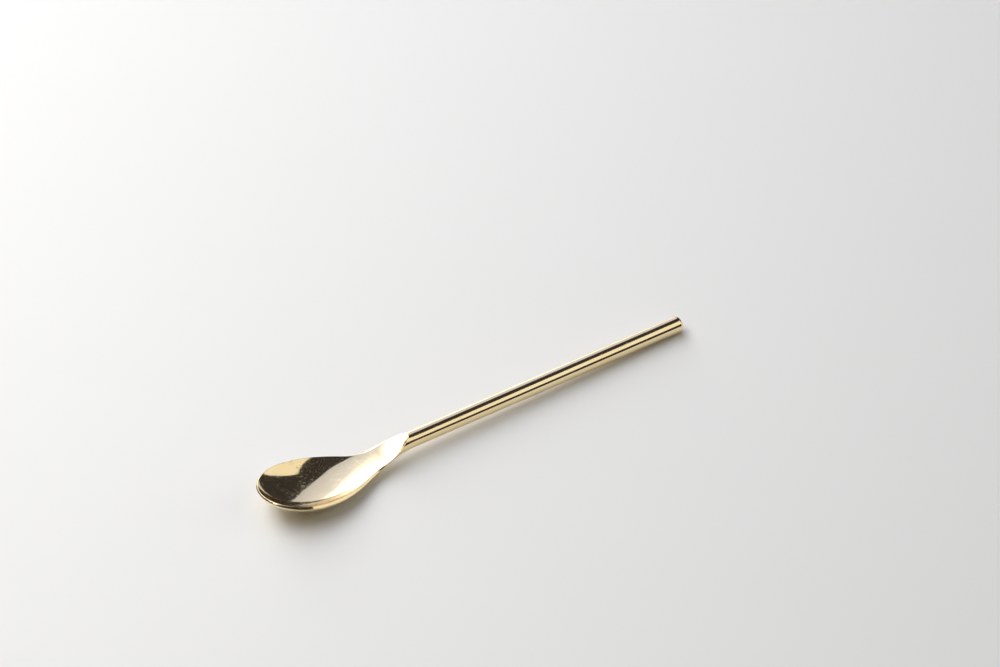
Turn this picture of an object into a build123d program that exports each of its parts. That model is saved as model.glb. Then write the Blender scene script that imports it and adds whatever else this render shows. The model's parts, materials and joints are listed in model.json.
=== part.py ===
from build123d import *
from math import acos, atan2, cos, degrees, pi, radians, sin, sqrt
import os

# Bar spoon of gold-tone polished steel, in millimetres.
#
# The shape is described along the handle: x runs from the nose of the bowl to the end of the
# handle, and z is the height over the handle's axis. At the very end every piece is laid down
# on the table, resting on the belly of the bowl and on the end of the handle, with the origin
# on the table under the middle of the spoon.

# ---- handle ----
HANDLE_DIAMETER = 6.0
HANDLE_RADIUS = HANDLE_DIAMETER / 2
HANDLE_WALL = 0.8
HANDLE_END_X = 177.0
JOINT_X = 68.0               # where the bowl's shank ends and the handle tube begins
SOLDER_GAP = 0.05            # radial room for the solder round the tang and the plug's spigot

# ---- bowl ----
WIDEST_X = 18.5
NOSE_LENGTH = 19.0           # from the widest place to the tip
BOWL_HALF_WIDTH = 15.2
BOWL_HALF_HEIGHT = 9.8
BOWL_WALL = 1.4              # width of the rim along the sides
NOSE_WALL = 0.9              # and at the tip
FLOOR_THICKNESS = 2.4        # metal under the middle of the hollow
LIP_ANGLE = radians(62)      # how much of its ellipse the hollow takes up, each side of its middle
FLARE_END_X = 64.0           # where the sides have narrowed to the handle's radius
BELLY_END_X = 62.0           # where the belly has risen to the underside of the handle
CENTRE_OVER_RIM = 2.1        # the widest line of the bowl's ellipsoid stands this far over the rim
CENTRE_BLEND = 12.0          # half the length over which the bowl's centre line meets the axis

# ---- rim, seen from the side: two straight lines and a soft valley between them ----
RIM_VALLEY_X = 47.0
RIM_VALLEY_Z = -3.1
RIM_SLOPE = -0.148
NECK_SLOPE = 0.414
RIM_BLEND = 8.3              # half the length of the valley's curve

# ---- tongue: the hollow runs up through the top of the round bar and ends there ----
TONGUE_END_X = 61.8
TONGUE_SLOPE = 0.6
TONGUE_BLEND = 2.0
TONGUE_START_X = 41.0        # from here on the hollow widens until it cuts right across the bar
TONGUE_WIDENED_X = 58.0
TONGUE_OVERCUT = 0.3         # how far it then reaches past the bar on each side

# ---- inside the handle ----
TANG_LENGTH = 14.0
PLUG_HEAD_LENGTH = 3.0
PLUG_SPIGOT_LENGTH = 8.0
PLUG_EDGE_RADIUS = 1.35
SPIGOT_CHAMFER = 0.4

MIN_HOLLOW_DEPTH = 0.5       # keeps the hollow's cutter open where it runs out over the bar
RIM_CUT_HALF_WIDTH = 30.0    # the rim's cutter reaches well past the bowl on both sides
RIM_CUT_TOP = 30.0
RIM_CUT_START_X = -10.0


def smooth_step(t):
    """Rises smoothly from 0 at t=0 to 1 at t=1."""
    t = min(max(t, 0.0), 1.0)
    return t * t * (3 - 2 * t)


def half_cosine(t):
    """Falls smoothly from 1 at t=0 to 0 at t=1."""
    t = min(max(t, 0.0), 1.0)
    return (1 + cos(pi * t)) / 2


def bent_line(x, corner_x, corner_z, slope_in, slope_out, reach):
    """Height of two straight lines that meet at a corner, rounded by a parabola."""
    past = x - corner_x
    into_bend = min(max(past + reach, 0.0), 2 * reach)
    turn = slope_out - slope_in
    return corner_z + slope_in * past + turn * (into_bend**2 / (4 * reach) + max(past - reach, 0.0))


def centre_height(x):
    """Height of the centres of the cross-sections: over the rim in the bowl, 0 in the bar."""
    meets_axis_x = RIM_VALLEY_X + (RIM_VALLEY_Z + CENTRE_OVER_RIM) / -RIM_SLOPE
    return bent_line(x, meets_axis_x, 0.0, RIM_SLOPE, 0.0, CENTRE_BLEND)


def outer_radii(x):
    """Half-width and half-height of the spoon's outside: a quarter ellipsoid, then a flare."""
    if x < WIDEST_X:
        fullness = sqrt(1 - ((WIDEST_X - x) / NOSE_LENGTH) ** 2)
        return BOWL_HALF_WIDTH * fullness, BOWL_HALF_HEIGHT * fullness
    side = half_cosine((x - WIDEST_X) / (FLARE_END_X - WIDEST_X))
    belly = half_cosine((x - WIDEST_X) / (BELLY_END_X - WIDEST_X))
    half_width = HANDLE_RADIUS + (BOWL_HALF_WIDTH - HANDLE_RADIUS) * side
    half_height = HANDLE_RADIUS + (BOWL_HALF_HEIGHT - HANDLE_RADIUS) * belly
    return half_width, half_height


def belly_height(x):
    """Height of the underside, along the middle of the spoon."""
    return centre_height(x) - outer_radii(x)[1]


def rim_height(x):
    return bent_line(x, RIM_VALLEY_X, RIM_VALLEY_Z, RIM_SLOPE, NECK_SLOPE, RIM_BLEND)


def hollow_section(x):
    """Half-width, half-height and centre height of the hollow, from the widest place on."""
    half_width, half_height = outer_radii(x)
    centre, rim = centre_height(x), rim_height(x)
    rise = min(max((rim - centre) / half_height, -1.0), 1.0)
    widening = smooth_step((x - TONGUE_START_X) / (TONGUE_WIDENED_X - TONGUE_START_X))
    narrowing = BOWL_WALL - (BOWL_WALL + TONGUE_OVERCUT) * widening
    lip = half_width * sqrt(1 - rise**2) - narrowing

    floor = centre - half_height + FLOOR_THICKNESS
    ramp = HANDLE_RADIUS + TONGUE_SLOPE * (x - TONGUE_END_X)
    overlap = max(TONGUE_BLEND - abs(floor - ramp), 0.0)
    bottom = max(floor, ramp) + overlap**2 / (4 * TONGUE_BLEND)
    depth = max(rim - bottom, MIN_HOLLOW_DEPTH)
    ellipse_half_height = depth / (1 - cos(LIP_ANGLE))
    return lip / sin(LIP_ANGLE), ellipse_half_height, bottom + ellipse_half_height


def section(x, z, half_width, half_height):
    """An ellipse across the spoon."""
    across = Plane(origin=(x, 0, z), x_dir=(0, 1, 0), z_dir=(1, 0, 0))
    return across * Ellipse(half_width, half_height)


def outer_blank():
    """The bowl, neck and shank before the hollow is cut: a tube of elliptical sections."""
    sections = []
    for nose_angle in (7, 14, 22, 32, 44, 58, 73):
        x = WIDEST_X - NOSE_LENGTH * cos(radians(nose_angle))
        sections.append(section(x, centre_height(x), *outer_radii(x)))
    flare_steps = 15
    for step in range(flare_steps + 1):
        x = WIDEST_X + (FLARE_END_X - WIDEST_X) * step / flare_steps
        sections.append(section(x, centre_height(x), *outer_radii(x)))
    for x in ((FLARE_END_X + JOINT_X) / 2, JOINT_X):
        sections.append(section(x, 0, HANDLE_RADIUS, HANDLE_RADIUS))
    return loft(sections)


def hollow_cutter():
    """The concave inside: part of an ellipsoid round the nose, then elliptical sections."""
    sections = []
    rim_half_angle = acos(CENTRE_OVER_RIM / BOWL_HALF_HEIGHT)
    length = (NOSE_LENGTH * sin(rim_half_angle) - NOSE_WALL) / sin(LIP_ANGLE)
    half_width, half_height, widest_z = hollow_section(WIDEST_X)
    for nose_angle in (12, 20, 30, 40, 50, 60, 70, 80):
        fullness = sin(radians(nose_angle))
        x = WIDEST_X - length * cos(radians(nose_angle))
        z = widest_z + centre_height(x) - centre_height(WIDEST_X)
        sections.append(section(x, z, half_width * fullness, half_height * fullness))
    ramp_steps = 20
    for step in range(ramp_steps + 1):
        x = WIDEST_X + (JOINT_X - WIDEST_X) * step / ramp_steps
        half_width, half_height, z = hollow_section(x)
        sections.append(section(x, z, half_width, half_height))
    return loft(sections)


def rim_cutter():
    """Everything over the rim line."""
    def on_line(x, slope):
        return (x, RIM_VALLEY_Z + slope * (x - RIM_VALLEY_X))

    start = on_line(RIM_CUT_START_X, RIM_SLOPE)
    bend_start = on_line(RIM_VALLEY_X - RIM_BLEND, RIM_SLOPE)
    bend_end = on_line(RIM_VALLEY_X + RIM_BLEND, NECK_SLOPE)
    end = on_line(JOINT_X, NECK_SLOPE)
    with BuildPart() as cutter:
        with BuildSketch(Plane.XZ):
            with BuildLine():
                Line(start, bend_start)
                Bezier(bend_start, (RIM_VALLEY_X, RIM_VALLEY_Z), bend_end)
                Line(bend_end, end)
                Polyline(end, (end[0], RIM_CUT_TOP), (start[0], RIM_CUT_TOP), start)
            make_face()
        extrude(amount=RIM_CUT_HALF_WIDTH, both=True)
    return cutter.part


def rod(x, length, radius):
    """A round bar on the handle's axis, from x towards the end of the handle."""
    return Pos(x, 0, 0) * Rot(0, 90, 0) * Cylinder(
        radius, length, align=(Align.CENTER, Align.CENTER, Align.MIN)
    )


def bowl():
    """Bowl, neck and shank in one forging, with the tang that goes into the handle tube."""
    tang_radius = HANDLE_RADIUS - HANDLE_WALL - SOLDER_GAP
    tang = rod(JOINT_X, TANG_LENGTH, tang_radius)
    tang = chamfer(tang.edges().group_by(Axis.X)[-1], SPIGOT_CHAMFER)
    return outer_blank() - rim_cutter() - hollow_cutter() + tang


def handle_tube():
    """The round tube of the handle, square at both ends."""
    length = HANDLE_END_X - PLUG_HEAD_LENGTH - JOINT_X
    return rod(JOINT_X, length, HANDLE_RADIUS) - rod(JOINT_X, length, HANDLE_RADIUS - HANDLE_WALL)


def end_plug():
    """The plug that closes the tube: a rounded head as wide as the handle, and a spigot."""
    head_x = HANDLE_END_X - PLUG_HEAD_LENGTH
    head = rod(head_x, PLUG_HEAD_LENGTH, HANDLE_RADIUS)
    head = fillet(head.edges().group_by(Axis.X)[-1], PLUG_EDGE_RADIUS)
    spigot_radius = HANDLE_RADIUS - HANDLE_WALL - SOLDER_GAP
    spigot = rod(head_x - PLUG_SPIGOT_LENGTH, PLUG_SPIGOT_LENGTH, spigot_radius)
    spigot = chamfer(spigot.edges().group_by(Axis.X)[0], SPIGOT_CHAMFER)
    return head + spigot


def resting_pitch():
    """Angle by which the handle dips towards its end when the spoon lies on a table."""
    heel_x = HANDLE_END_X - PLUG_EDGE_RADIUS
    stations = [JOINT_X * step / 600 for step in range(600)]
    return max(atan2(-HANDLE_RADIUS - belly_height(x), heel_x - x) for x in stations)


pieces = {
    "bowl": bowl(),
    "handle_tube": handle_tube(),
    "end_plug": end_plug(),
}

laid_down = Rot(0, degrees(resting_pitch()), 0)
box = Compound(children=[laid_down * piece for piece in pieces.values()]).bounding_box()
on_table = Pos(-box.center().X, 0, -box.min.Z) * laid_down

os.makedirs("parts", exist_ok=True)
for name, piece in pieces.items():
    placed = on_table * piece
    placed.label = name
    export_step(placed, f"parts/{name}.step")

print(f"pitch {degrees(resting_pitch()):.3f} degrees, {box.size.X:.2f} long, {box.size.Z:.2f} high")
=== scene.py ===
import json
from math import acos, cos, pi, radians, sin, sqrt, tan

import bmesh
import bpy
from mathutils import Matrix, Vector


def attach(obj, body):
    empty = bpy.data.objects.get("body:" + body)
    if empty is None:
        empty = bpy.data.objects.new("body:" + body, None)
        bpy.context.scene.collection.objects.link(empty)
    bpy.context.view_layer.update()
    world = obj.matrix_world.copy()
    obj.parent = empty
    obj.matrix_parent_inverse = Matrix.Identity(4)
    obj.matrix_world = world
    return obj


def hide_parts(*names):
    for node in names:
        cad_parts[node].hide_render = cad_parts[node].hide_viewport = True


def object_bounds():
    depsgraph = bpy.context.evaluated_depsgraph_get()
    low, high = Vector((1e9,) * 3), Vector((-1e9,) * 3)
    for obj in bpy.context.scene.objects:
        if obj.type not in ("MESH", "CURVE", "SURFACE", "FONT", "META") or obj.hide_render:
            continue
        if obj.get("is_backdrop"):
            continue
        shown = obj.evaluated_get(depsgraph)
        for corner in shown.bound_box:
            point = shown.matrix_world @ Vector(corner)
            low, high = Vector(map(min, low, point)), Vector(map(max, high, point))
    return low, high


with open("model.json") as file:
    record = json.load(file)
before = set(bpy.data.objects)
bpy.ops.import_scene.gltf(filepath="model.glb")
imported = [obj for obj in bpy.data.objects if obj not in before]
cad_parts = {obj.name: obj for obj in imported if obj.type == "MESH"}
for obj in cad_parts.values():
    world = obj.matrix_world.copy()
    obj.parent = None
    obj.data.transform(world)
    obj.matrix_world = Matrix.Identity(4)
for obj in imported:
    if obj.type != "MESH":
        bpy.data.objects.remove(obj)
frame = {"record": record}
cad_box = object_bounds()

# Bar spoon of gold-tone polished steel, in metres.
#
# The shape is described along the handle: x runs from the nose of the bowl to the end of the
# handle, y across it, and z is the height over the handle's axis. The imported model's mount on
# the handle says where that axis lies, so on_table() can put every point in its place.

# ---- handle ----
MOUNT = frame["record"]["mounts"][0]
HANDLE_RADIUS = MOUNT["dims"]["r_mm"] / 1000
HANDLE_WALL = 0.0008
HANDLE_END_X = 0.177
JOINT_X = 0.068              # where the bowl's shank ends and the handle tube begins
PLUG_X = 0.174               # where the tube ends and the plug's head begins
SOLDER_GAP = 0.00005
TANG_LENGTH = 0.014
TANG_CHAMFER = 0.0006
PLUG_EDGE_RADIUS = 0.00135
PLUG_SPIGOT_LENGTH = 0.008
SPIGOT_CHAMFER = 0.0004

# ---- bowl ----
WIDEST_X = 0.0185
NOSE_LENGTH = 0.0190         # from the widest place to the tip
BOWL_HALF_WIDTH = 0.0152
BOWL_HALF_HEIGHT = 0.0098
BOWL_WALL = 0.0014           # width of the rim along the sides
NOSE_WALL = 0.0009           # and at the tip
FLOOR_THICKNESS = 0.0024     # metal under the middle of the bowl
LIP_ANGLE = radians(62)      # how much of its ellipse the hollow takes up, each side of its middle
FLARE_END_X = 0.064          # where the sides have narrowed to the handle's radius
BELLY_END_X = 0.0620         # where the belly has risen to the underside of the handle
CENTRE_OVER_RIM = 0.0021     # the bowl's widest line stands this far over the rim
CENTRE_BLEND = 0.012         # half the length over which that line meets the handle's axis

# ---- rim, seen from the side: two straight lines and a soft valley between them ----
RIM_VALLEY_X = 0.0470
RIM_VALLEY_Z = -0.0031
RIM_SLOPE = -0.148
NECK_SLOPE = 0.414
RIM_BLEND = 0.0083           # half the length of the valley's curve
RIM_TILT = radians(42)       # how far the rim's face leans outward
LEVEL_RIM_X = 0.056          # where the lean has faded out, on the way to the neck
LIP_ROUNDING = 0.00018       # how far polishing has cut back the rim's inner edge
BRINK_ROUNDING = 0.00035     # and its outer edge
TONGUE_ROUNDING = 0.00012    # both of them where the hollow runs out over the bar
# Towards the tongue's end both roundings shrink with the hollow: each is at most this many times
# the length of the hollow's wall, from its middle to its lip.
MAX_LIP_ROUNDING = 0.4
MAX_BRINK_ROUNDING = 2.0

# ---- tongue: the hollow runs up through the top of the round bar and ends there ----
TONGUE_END_X = 0.0618
TONGUE_SLOPE = 0.6
TONGUE_BLEND = 0.002
TONGUE_START_X = 0.041       # from here on the rim narrows until the hollow is as wide as the bar
TONGUE_WIDENED_X = 0.058

# ---- how finely the bowl is divided ----
FAN_RIBS = 72                # round the nose
BODY_RIBS = 90               # from the widest place to where the rim dies out
TONGUE_RIBS = 44             # from there to the tongue's end, closer and closer together
SHANK_RIBS = 14
CLOSE_RIBS_X = 0.0565        # where the tongue's closer ribs begin
WALL_STEPS = 48
EDGE_STEPS = 12
RIM_STEPS = 4
INNER_CROWDING = 1.5         # over 1, the points of a rib stand closer together towards the rim
OUTER_CROWDING = 1.3
AROUND = 96                  # faces round the handle
HANDLE_STEPS = 40
HEAD_STEPS = 4
HEAD_EDGE_STEPS = 20
HEAD_END_STEPS = 6
TINY = 1e-9                  # keeps a length that is divided by away from 0


# ============================ outline formulas ============================

def smooth_step(t):
    """Rises smoothly from 0 at t=0 to 1 at t=1."""
    t = min(max(t, 0.0), 1.0)
    return t * t * (3 - 2 * t)


def half_cosine(t):
    """Falls smoothly from 1 at t=0 to 0 at t=1."""
    t = min(max(t, 0.0), 1.0)
    return (1 + cos(pi * t)) / 2


def bent_line(x, corner_x, corner_z, slope_in, slope_out, reach):
    """Height of a straight line that turns into another one along a parabola round the corner."""
    past = x - corner_x
    into_bend = min(max(past + reach, 0.0), 2 * reach)
    turn = slope_out - slope_in
    return corner_z + slope_in * past + turn * (into_bend**2 / (4 * reach) + max(past - reach, 0.0))


def centre_height(x):
    """Height of the widest line of the bowl, which runs into the handle's axis."""
    meets_axis_x = RIM_VALLEY_X + (RIM_VALLEY_Z + CENTRE_OVER_RIM) / -RIM_SLOPE
    return bent_line(x, meets_axis_x, 0.0, RIM_SLOPE, 0.0, CENTRE_BLEND)


def rim_height(x):
    return bent_line(x, RIM_VALLEY_X, RIM_VALLEY_Z, RIM_SLOPE, NECK_SLOPE, RIM_BLEND)


def outer_radii(x):
    """Half width and half height of the outside, from the widest place on."""
    side = half_cosine((x - WIDEST_X) / (FLARE_END_X - WIDEST_X))
    belly = half_cosine((x - WIDEST_X) / (BELLY_END_X - WIDEST_X))
    half_width = HANDLE_RADIUS + (BOWL_HALF_WIDTH - HANDLE_RADIUS) * side
    half_height = HANDLE_RADIUS + (BOWL_HALF_HEIGHT - HANDLE_RADIUS) * belly
    return half_width, half_height


def hollow_section(x):
    """Half width, lowest height and depth of the hollow, from the widest place on."""
    half_width, half_height = outer_radii(x)
    centre, rim = centre_height(x), rim_height(x)
    rise = min(max((rim - centre) / half_height, -1.0), 1.0)
    narrowing = smooth_step((x - TONGUE_START_X) / (TONGUE_WIDENED_X - TONGUE_START_X))
    lip = half_width * sqrt(1 - rise**2) - BOWL_WALL * (1 - narrowing)

    floor = centre - half_height + FLOOR_THICKNESS
    ramp = HANDLE_RADIUS + TONGUE_SLOPE * (x - TONGUE_END_X)
    overlap = max(TONGUE_BLEND - abs(floor - ramp), 0.0)
    bottom = max(floor, ramp) + overlap**2 / (4 * TONGUE_BLEND)
    return lip, bottom, max(rim - bottom, 0.0)


def hollow_arc(reach):
    """How far out and up the hollow's wall is, as shares of the whole way to the lip."""
    angle = LIP_ANGLE * reach
    return sin(angle) / sin(LIP_ANGLE), (1 - cos(angle)) / (1 - cos(LIP_ANGLE))


def halve_to_root(height, low, high):
    """Where height(value) crosses zero; it's below zero at low and above it at high."""
    halvings = 50
    for _ in range(halvings):
        middle = (low + high) / 2
        if height(middle) < 0:
            low = middle
        else:
            high = middle
    return (low + high) / 2


# ============================ the bowl's ribs ============================
# A rib is half a cross-section: from the middle of the hollow, up the inner wall, over the rim
# and down the outside to the keel. Round the nose the ribs fan out from one upright line, and
# behind the widest place they stand square to the handle.

def across(x, half_width, half_height, centre):
    """A point of a section square to the handle, by its angle from the section's lowest point."""
    def point(angle):
        return Vector((x, half_width * sin(angle), centre - half_height * cos(angle)))
    return point


def bezier(start, pull, end, t):
    """A point of a rounded corner: the curve from start to end that leans towards pull."""
    return start * (1 - t) ** 2 + pull * 2 * t * (1 - t) + end * t**2


def down_the_outside(outer, top):
    """Points of the outside from an angle down to the keel, closer together near the top."""
    shares = [1 - (step / WALL_STEPS) ** OUTER_CROWDING for step in range(WALL_STEPS + 1)]
    return [outer(top * share) for share in shares]


def rounded_edges(lip, brink, start, end, lip_cut, brink_cut):
    """Ends of the flat part of a rim, and the points that its two edges' curves lean towards.

    Where the rim is narrower than its two roundings, they run together into one.
    """
    rim_width = (brink - lip).length
    cuts = max(lip_cut + brink_cut, TINY)
    merged = max(0.0, 1 - rim_width / cuts)
    drop = ((start + end) / 2 - (lip + brink) / 2) * merged / 2
    fit = min(1.0, rim_width / cuts) / max(rim_width, TINY)
    rim_start = lip.lerp(brink, lip_cut * fit) + drop
    rim_end = brink.lerp(lip, brink_cut * fit) + drop
    lip_pull = lip + (start - lip) * merged / 2
    brink_pull = brink + (end - brink) * merged / 2
    return rim_start, rim_end, lip_pull, brink_pull


def rib(inner, outer, outer_lip, softness=0.0):
    """The points of a rib, with both edges of the rim rounded by polishing.

    inner(0) is the middle of the hollow and inner(1) its lip, outer(0) is the keel and
    outer(outer_lip) the outer edge of the rim, its brink.
    """
    lip, brink = inner(1.0), outer(outer_lip)
    nudge = 0.001
    inner_speed = (lip - inner(1.0 - nudge)).length / nudge
    outer_speed = (brink - outer(outer_lip - nudge)).length / nudge
    lip_cut = LIP_ROUNDING + (TONGUE_ROUNDING - LIP_ROUNDING) * softness
    lip_cut = min(lip_cut, MAX_LIP_ROUNDING * inner_speed)
    brink_cut = BRINK_ROUNDING + (TONGUE_ROUNDING - BRINK_ROUNDING) * softness
    brink_cut = min(brink_cut, MAX_BRINK_ROUNDING * inner_speed)
    last_inner = 1.0 - lip_cut / max(inner_speed, TINY)
    first_outer = outer_lip - brink_cut / outer_speed
    start, end = inner(last_inner), outer(first_outer)
    edges = rounded_edges(lip, brink, start, end, lip_cut, brink_cut)
    rim_start, rim_end, lip_pull, brink_pull = edges

    points = []
    for step in range(WALL_STEPS):
        points.append(inner(last_inner * (1 - (1 - step / WALL_STEPS) ** INNER_CROWDING)))
    for step in range(EDGE_STEPS):
        points.append(bezier(start, lip_pull, rim_start, step / EDGE_STEPS))
    for step in range(RIM_STEPS):
        points.append(rim_start.lerp(rim_end, step / RIM_STEPS))
    for step in range(EDGE_STEPS):
        points.append(bezier(rim_end, brink_pull, end, step / EDGE_STEPS))
    return points + down_the_outside(outer, first_outer)


def lip_angle(centre, half_height, height):
    """Angle from a section's lowest point at which its outside has risen to this height."""
    return acos(min(max((centre - height) / half_height, -1.0), 1.0))


def brink_angle(lip, outer, outer_lip, tilt):
    """Where the rim's face, which falls outward from the lip at this tilt, meets the outside."""
    def over_the_face(angle):
        point = outer(angle)
        outward = (point - lip).xy.length
        return point.z - lip.z + outward * tan(tilt)
    return halve_to_root(over_the_face, outer_lip / 2, outer_lip)


def nose_rib(turn):
    """A rib in front of the widest place, turned from the tip (0) to the side (a right angle)."""
    outer_lip = acos(CENTRE_OVER_RIM / BOWL_HALF_HEIGHT)
    lip, bottom, depth = hollow_section(WIDEST_X)
    lip_length = NOSE_LENGTH * sin(outer_lip) - NOSE_WALL

    def inner(reach):
        out, up = hollow_arc(reach)
        x = WIDEST_X - lip_length * out * cos(turn)
        z = bottom + centre_height(x) - centre_height(WIDEST_X) + depth * up
        return Vector((x, lip * out * sin(turn), z))

    def outer(angle):
        x = WIDEST_X - NOSE_LENGTH * sin(angle) * cos(turn)
        z = centre_height(x) - BOWL_HALF_HEIGHT * cos(angle)
        return Vector((x, BOWL_HALF_WIDTH * sin(angle) * sin(turn), z))

    return rib(inner, outer, brink_angle(inner(1.0), outer, outer_lip, RIM_TILT))


def body_rib(x):
    """A rib between the widest place and the tongue's end."""
    half_width, half_height = outer_radii(x)
    centre = centre_height(x)
    lip, bottom, depth = hollow_section(x)

    def inner(reach):
        out, up = hollow_arc(reach)
        return Vector((x, lip * out, bottom + depth * up))

    outer = across(x, half_width, half_height, centre)
    brink = lip_angle(centre, half_height, rim_height(x))
    softness = smooth_step((x - TONGUE_START_X) / (TONGUE_WIDENED_X - TONGUE_START_X))
    tilt = RIM_TILT * (1 - smooth_step((x - TONGUE_START_X) / (LEVEL_RIM_X - TONGUE_START_X)))
    if tilt > 0:
        brink = brink_angle(inner(1.0), outer, brink, tilt)
    return rib(inner, outer, brink, softness)


def bar_rib(x, half_width, half_height, centre=0.0):
    """A rib where there is no hollow: its first points all lie on top of the bar."""
    outer = across(x, half_width, half_height, centre)
    on_top = [outer(pi)] * (WALL_STEPS + 2 * EDGE_STEPS + RIM_STEPS)
    return on_top + down_the_outside(outer, pi)


def hollow_end():
    """Where the rim has risen to the top of the bar."""
    def over_the_bar(x):
        return rim_height(x) - centre_height(x) - outer_radii(x)[1]
    return halve_to_root(over_the_bar, CLOSE_RIBS_X, JOINT_X)


def bowl_ribs():
    """Ribs of one half of the bowl piece, from its tip to the end of its tang."""
    ribs = [nose_rib(pi / 2 * step / FAN_RIBS) for step in range(FAN_RIBS)]
    for step in range(BODY_RIBS):
        ribs.append(body_rib(WIDEST_X + (CLOSE_RIBS_X - WIDEST_X) * step / BODY_RIBS))
    end_x = hollow_end()
    for step in range(TONGUE_RIBS):
        left = 1 - step / TONGUE_RIBS
        ribs.append(body_rib(end_x - (end_x - CLOSE_RIBS_X) * left**2))
    for step in range(SHANK_RIBS + 1):
        x = end_x + (JOINT_X - end_x) * step / SHANK_RIBS
        ribs.append(bar_rib(x, *outer_radii(x), centre_height(x)))
    tang_radius = HANDLE_RADIUS - HANDLE_WALL - SOLDER_GAP
    tang_end = JOINT_X + TANG_LENGTH
    ribs.append(bar_rib(JOINT_X, tang_radius, tang_radius))
    ribs.append(bar_rib(tang_end - TANG_CHAMFER, tang_radius, tang_radius))
    ribs.append(bar_rib(tang_end, tang_radius - TANG_CHAMFER, tang_radius - TANG_CHAMFER))
    ribs.append(bar_rib(tang_end, 0.0, 0.0))
    return ribs


# ============================ meshes ============================

AXIS = Vector(MOUNT["axis"]).normalized()
UPWARD = Vector((-AXIS.z, 0.0, AXIS.x))
MOUNT_X = (JOINT_X + PLUG_X) / 2


def on_table(point):
    """Moves a point of the spoon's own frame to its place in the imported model."""
    along = AXIS * (point.x - MOUNT_X)
    return Vector(MOUNT["pos_m"]) + along + Vector((0.0, point.y, 0.0)) + UPWARD * point.z


def finish_mesh(name, bm, material, node):
    """Closes a mesh's seams, shades it smooth but for its square edges, and names its place."""
    same_place = 1e-7
    square_edge = radians(50)
    bmesh.ops.remove_doubles(bm, verts=bm.verts, dist=same_place)
    bmesh.ops.dissolve_degenerate(bm, edges=bm.edges, dist=same_place)
    bmesh.ops.recalc_face_normals(bm, faces=bm.faces)
    for face in bm.faces:
        face.smooth = True
    for edge in bm.edges:
        edge.smooth = edge.calc_face_angle(pi) < square_edge
    mesh = bpy.data.meshes.new(name)
    bm.to_mesh(mesh)
    bm.free()
    mesh.materials.append(material)
    piece = bpy.data.objects.new(name, mesh)
    bpy.context.scene.collection.objects.link(piece)
    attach(piece, "root")
    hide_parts(node)


def skin(bm, rows, ring=False):
    """Faces between rows of points, each row with as many points as the next."""
    rows = [[bm.verts.new(on_table(point)) for point in row] for row in rows]
    last = len(rows[0]) if ring else len(rows[0]) - 1
    for row, next_row in zip(rows, rows[1:]):
        for i in range(last):
            j = (i + 1) % len(row)
            bm.faces.new((row[i], row[j], next_row[j], next_row[i]))


def make_bowl(material):
    """Bowl, neck, shank and tang, from the ribs of one half and their mirror images."""
    bm = bmesh.new()
    ribs = bowl_ribs()
    skin(bm, ribs)
    skin(bm, [[Vector((p.x, -p.y, p.z)) for p in points] for points in ribs])
    finish_mesh("spoon_bowl", bm, material, "bowl")


def turned(bm, profile):
    """Turns a profile of (place along the handle, radius) round the handle's axis."""
    rows = []
    for x, radius in profile:
        angles = [2 * pi * step / AROUND for step in range(AROUND)]
        rows.append([Vector((x, radius * sin(a), radius * cos(a))) for a in angles])
    skin(bm, rows, ring=True)


def evenly(start, end, steps):
    """Evenly spaced values from start to end, both included."""
    return [start + (end - start) * step / steps for step in range(steps + 1)]


def make_handle(material):
    """The tube: its outside, and back along its bore."""
    bore = HANDLE_RADIUS - HANDLE_WALL
    lengths = evenly(JOINT_X, PLUG_X, HANDLE_STEPS)
    profile = [(x, HANDLE_RADIUS) for x in lengths]
    profile += [(x, bore) for x in reversed(lengths)]
    profile.append(profile[0])
    bm = bmesh.new()
    turned(bm, profile)
    finish_mesh("spoon_handle", bm, material, "handle_tube")


def make_plug(material):
    """The plug: from the middle of its spigot's end, out over its head and back to the middle."""
    spigot = HANDLE_RADIUS - HANDLE_WALL - SOLDER_GAP
    spigot_end = PLUG_X - PLUG_SPIGOT_LENGTH
    edge_x = HANDLE_END_X - PLUG_EDGE_RADIUS
    edge_r = HANDLE_RADIUS - PLUG_EDGE_RADIUS
    profile = [(spigot_end, 0.0), (spigot_end, spigot - SPIGOT_CHAMFER)]
    profile += [(spigot_end + SPIGOT_CHAMFER, spigot), (PLUG_X, spigot)]
    profile += [(x, HANDLE_RADIUS) for x in evenly(PLUG_X, edge_x, HEAD_STEPS)]
    for angle in evenly(0.0, pi / 2, HEAD_EDGE_STEPS)[1:]:
        x = edge_x + PLUG_EDGE_RADIUS * sin(angle)
        profile.append((x, edge_r + PLUG_EDGE_RADIUS * cos(angle)))
    profile += [(HANDLE_END_X, r) for r in evenly(edge_r, 0.0, HEAD_END_STEPS)[1:]]
    bm = bmesh.new()
    turned(bm, profile)
    finish_mesh("spoon_end_plug", bm, material, "end_plug")


# ============================ materials ============================
# The scale of a noise is about how many waves it has in a metre.

YELLOW_GOLD = (0.92, 0.735, 0.425, 1.0)
PALE_GOLD = (0.94, 0.775, 0.475, 1.0)
DRIFT_SCALE = 45.0           # how the gold's colour drifts
HAZE_SCALE = 900.0           # and its gloss, between these two shares of its roughness
LEAST_HAZE = 0.6
MOST_HAZE = 1.5
PATCH_SCALE = 160.0          # patches of scratches
PIT_SCALE = 4000.0
SCRATCH_LENGTH_SCALE = 150.0
FINE_SCRATCH_SCALE = 5200.0
SCRATCH_SCALE = 4500.0
FINE_SCRATCH_TURN = (0.0, 0.1, 0.5)
SCRATCH_TURNS = ((0.1, 0.0, 2.1), (0.0, 0.1, 1.1), (0.1, 0.1, -0.6))
SCRATCH_ROUGHNESS = 0.35     # what a scratch adds to the roughness where the wear is 1
SCRATCH_DEPTH = 0.000008

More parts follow.
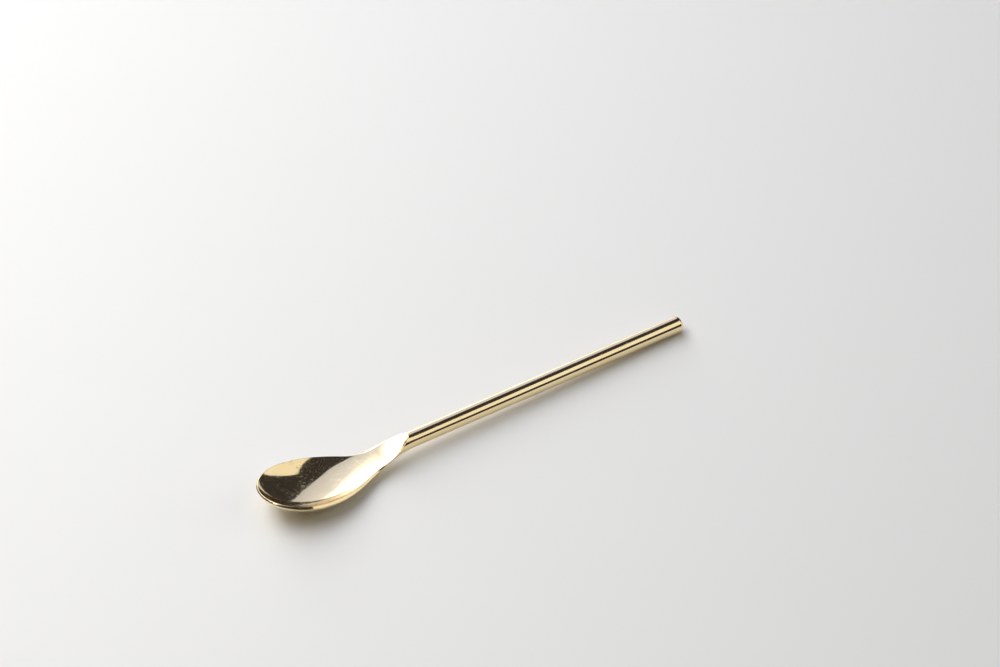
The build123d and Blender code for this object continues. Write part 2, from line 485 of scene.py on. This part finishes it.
WHITE_PAINT = (0.858, 0.858, 0.805, 1.0)
WHITER_PAINT = (0.870, 0.870, 0.818, 1.0)
PAINT_TONE_SCALE = 25.0
PAINT_GLOSS_SCALE = 60.0
PAINT_GRAIN_SCALE = 1500.0
PAINT_GRAIN_DEPTH = 0.0002
PAINT_GRAIN_STRENGTH = 0.05


def new_material(name):
    material = bpy.data.materials.new(name)
    material.use_nodes = True
    return material, material.node_tree.nodes, material.node_tree.links


def noise(nodes, links, vector, scale, detail, distortion=0.0):
    texture = nodes.new("ShaderNodeTexNoise")
    texture.inputs["Scale"].default_value = scale
    texture.inputs["Detail"].default_value = detail
    texture.inputs["Distortion"].default_value = distortion
    links.new(vector, texture.inputs["Vector"])
    return texture.outputs["Fac"]


def remap(nodes, links, value, start, end, low, high):
    """Follows value smoothly, from low where it is at start to high where it is at end."""
    curve = nodes.new("ShaderNodeMapRange")
    curve.interpolation_type = "SMOOTHSTEP"
    curve.inputs["From Min"].default_value = start
    curve.inputs["From Max"].default_value = end
    curve.inputs["To Min"].default_value = low
    curve.inputs["To Max"].default_value = high
    links.new(value, curve.inputs["Value"])
    return curve.outputs[0]


def combined(nodes, links, operation, first, second):
    step = nodes.new("ShaderNodeMath")
    step.operation = operation
    links.new(first, step.inputs[0])
    links.new(second, step.inputs[1])
    return step.outputs[0]


def mixed_colour(nodes, links, first, second, share):
    mix = nodes.new("ShaderNodeMix")
    mix.data_type = "RGBA"
    mix.inputs["A"].default_value = first
    mix.inputs["B"].default_value = second
    links.new(share, mix.inputs["Factor"])
    return mix.outputs["Result"]


def relief(nodes, links, height, strength, depth, sunken=False):
    """The normal of a surface that is raised, or sunken, by this depth where height is 1."""
    bump = nodes.new("ShaderNodeBump")
    bump.inputs["Strength"].default_value = strength
    bump.inputs["Distance"].default_value = depth
    bump.invert = sunken
    links.new(height, bump.inputs["Height"])
    return bump.outputs[0]


def scratches(nodes, links, vector, turn, fineness):
    """Thin broken lines in one direction: noise stretched far along it and cut to its crests."""
    stretch = nodes.new("ShaderNodeMapping")
    stretch.inputs["Rotation"].default_value = turn
    stretch.inputs["Scale"].default_value = (SCRATCH_LENGTH_SCALE, fineness, fineness)
    links.new(vector, stretch.inputs["Vector"])
    crests = noise(nodes, links, stretch.outputs[0], scale=1.0, detail=1.0, distortion=0.6)
    return remap(nodes, links, crests, start=0.68, end=0.74, low=0.0, high=1.0)


def wear_marks(nodes, links, place):
    """Fine scratches from stirring and wiping, in patches, and a few pits."""
    marks = scratches(nodes, links, place, FINE_SCRATCH_TURN, FINE_SCRATCH_SCALE)
    for turn in SCRATCH_TURNS:
        more = scratches(nodes, links, place, turn, SCRATCH_SCALE)
        marks = combined(nodes, links, "MAXIMUM", marks, more)
    patches = noise(nodes, links, place, PATCH_SCALE, detail=2.0)
    patches = remap(nodes, links, patches, start=0.42, end=0.60, low=0.0, high=1.0)
    marks = combined(nodes, links, "MULTIPLY", marks, patches)
    pits = noise(nodes, links, place, PIT_SCALE, detail=2.0)
    pits = remap(nodes, links, pits, start=0.65, end=0.72, low=0.0, high=1.0)
    return combined(nodes, links, "MAXIMUM", marks, pits)


def gold_metal(name, roughness, wear):
    """Polished gold-tone plating. Its wear is how strongly the scratches show."""
    material, nodes, links = new_material(name)
    shader = nodes["Principled BSDF"]
    shader.inputs["Metallic"].default_value = 1.0
    place = nodes.new("ShaderNodeTexCoord").outputs["Object"]

    drift = noise(nodes, links, place, DRIFT_SCALE, detail=3.0)
    drift = remap(nodes, links, drift, start=0.35, end=0.65, low=0.0, high=1.0)
    colour = mixed_colour(nodes, links, YELLOW_GOLD, PALE_GOLD, drift)
    links.new(colour, shader.inputs["Base Color"])

    marks = wear_marks(nodes, links, place)
    haze = noise(nodes, links, place, HAZE_SCALE, detail=4.0)
    haze = remap(nodes, links, haze, start=0.35, end=0.65,
                 low=roughness * LEAST_HAZE, high=roughness * MOST_HAZE)
    dulled = remap(nodes, links, marks, start=0.0, end=1.0, low=0.0, high=SCRATCH_ROUGHNESS * wear)
    links.new(combined(nodes, links, "ADD", haze, dulled), shader.inputs["Roughness"])
    scratched = relief(nodes, links, marks, wear, SCRATCH_DEPTH, sunken=True)
    links.new(scratched, shader.inputs["Normal"])
    return material


def floor_paint():
    """Matt white paint with a faint unevenness in tone, gloss and surface."""
    material, nodes, links = new_material("pale_floor")
    shader = nodes["Principled BSDF"]
    shader.inputs["Specular IOR Level"].default_value = 0.2
    place = nodes.new("ShaderNodeTexCoord").outputs["Object"]

    tone = noise(nodes, links, place, PAINT_TONE_SCALE, detail=5.0)
    colour = mixed_colour(nodes, links, WHITE_PAINT, WHITER_PAINT, tone)
    links.new(colour, shader.inputs["Base Color"])

    rough = noise(nodes, links, place, PAINT_GLOSS_SCALE, detail=3.0)
    rough = remap(nodes, links, rough, start=0.3, end=0.7, low=0.55, high=0.65)
    links.new(rough, shader.inputs["Roughness"])

    grain = noise(nodes, links, place, PAINT_GRAIN_SCALE, detail=3.0)
    grained = relief(nodes, links, grain, PAINT_GRAIN_STRENGTH, PAINT_GRAIN_DEPTH)
    links.new(grained, shader.inputs["Normal"])
    return material


# ============================ floor, light and camera ============================

def make_floor():
    half_width = 3.0
    bm = bmesh.new()
    bmesh.ops.create_grid(bm, x_segments=2, y_segments=2, size=half_width)
    mesh = bpy.data.meshes.new("floor")
    bm.to_mesh(mesh)
    bm.free()
    mesh.materials.append(floor_paint())
    floor = bpy.data.objects.new("floor", mesh)
    bpy.context.scene.collection.objects.link(floor)
    floor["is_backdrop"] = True


def facing(centre, along, toward):
    """Placement of a panel: its x runs along, and its lit side faces toward."""
    x = Vector(along).normalized()
    z = -Vector(toward)
    z = (z - x * z.dot(x)).normalized()
    y = z.cross(x)
    placement = Matrix((x, y, z)).transposed().to_4x4()
    placement.translation = Vector(centre)
    return placement


def make_panel(name, centre, along, toward, length, width, layers):
    """A softbox. Each layer (start, end, low, high, tint) adds light that changes smoothly across
    its width, from low at start to high at end, both counted from one long edge (0) to the
    other (1). Low and high are radiances: at a radiance of 1 a panel's energy is pi times its
    area.
    """
    light = bpy.data.lights.new(name, "AREA")
    light.shape = "RECTANGLE"
    light.size = length
    light.size_y = width
    light.energy = pi * length * width
    light.use_nodes = True
    nodes, links = light.node_tree.nodes, light.node_tree.links
    place = nodes.new("ShaderNodeNewGeometry")
    split = nodes.new("ShaderNodeSeparateXYZ")
    total = nodes.new("ShaderNodeCombineXYZ")
    links.new(place.outputs["Parametric"], split.inputs[0])
    for start, end, low, high, tint in layers:
        fade = remap(nodes, links, split.outputs["Y"], start, end, low, high)
        layer = nodes.new("ShaderNodeVectorMath")
        layer.operation = "MULTIPLY_ADD"
        layer.inputs[0].default_value = tint
        links.new(fade, layer.inputs[1])
        links.new(total.outputs[0], layer.inputs[2])
        total = layer
    links.new(total.outputs[0], nodes["Emission"].inputs["Color"])
    panel = bpy.data.objects.new(name, light)
    panel.matrix_world = facing(centre, along, toward)
    panel.visible_camera = False
    bpy.context.scene.collection.objects.link(panel)


def make_lights():
    """A long key panel with a bright core, two even fill panels, and a dim room."""
    cool, pale, warm = (0.92, 0.99, 1.30), (1.04, 1.0, 0.92), (1.0, 0.98, 0.92)
    edge_glow = (1.0, 0.55, 0.66, 0.92, cool)
    core = (0.70, 0.46, 0.0, 3.1, pale)
    even = (0.0, 1.0, 0.95, 0.95, warm)
    make_panel("key_panel", centre=(0.043, 0.741, 0.745), along=(-0.532, -0.685, 0.499),
               toward=(-0.217, -0.459, -0.862), length=3.688, width=1.086,
               layers=[edge_glow, core])
    fill_along, fill_toward = (0.344, 0.931, 0.122), (-0.753, 0.351, -0.557)
    make_panel("fill_panel", (0.834, -0.915, 1.079), fill_along, fill_toward,
               length=1.64, width=0.66, layers=[even])
    make_panel("low_fill_panel", (1.499, -0.695, 0.320), fill_along, fill_toward,
               length=0.95, width=1.29, layers=[even])
    room_colour = (0.037, 0.035, 0.040, 1.0)
    world = bpy.data.worlds.new("dim_room")
    world.use_nodes = True
    world.node_tree.nodes["Background"].inputs["Color"].default_value = room_colour
    bpy.context.scene.world = world


def make_camera():
    """A camera so far away that it shows next to no perspective."""
    azimuth, elevation, roll = radians(-32.717), radians(40.627), radians(-1.861)
    target = Vector((0.03453, 0.03355, 0.00168))
    distance = 8.0
    view_width = 0.3522
    back = Vector((sin(azimuth) * cos(elevation), -cos(azimuth) * cos(elevation), sin(elevation)))
    level = Vector((cos(azimuth), sin(azimuth), 0.0))
    right = Matrix.Rotation(roll, 3, back) @ level
    placement = Matrix((right, back.cross(right), back)).transposed().to_4x4()
    placement.translation = target + back * distance
    data = bpy.data.cameras.new("camera")
    data.sensor_width = 36.0
    data.lens = data.sensor_width * distance / view_width
    camera = bpy.data.objects.new("camera", data)
    camera.matrix_world = placement
    bpy.context.scene.collection.objects.link(camera)
    bpy.context.scene.camera = camera


make_bowl(gold_metal("polished_bowl", roughness=0.07, wear=0.85))
make_handle(gold_metal("polished_handle", roughness=0.045, wear=0.25))
make_plug(gold_metal("polished_plug", roughness=0.045, wear=0.25))
make_floor()
make_lights()
make_camera()
bpy.context.scene.view_settings.view_transform = "Standard"

boxes = {"cad": cad_box, "visual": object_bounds()}
{name: [list(corner) for corner in box] for name, box in boxes.items()}
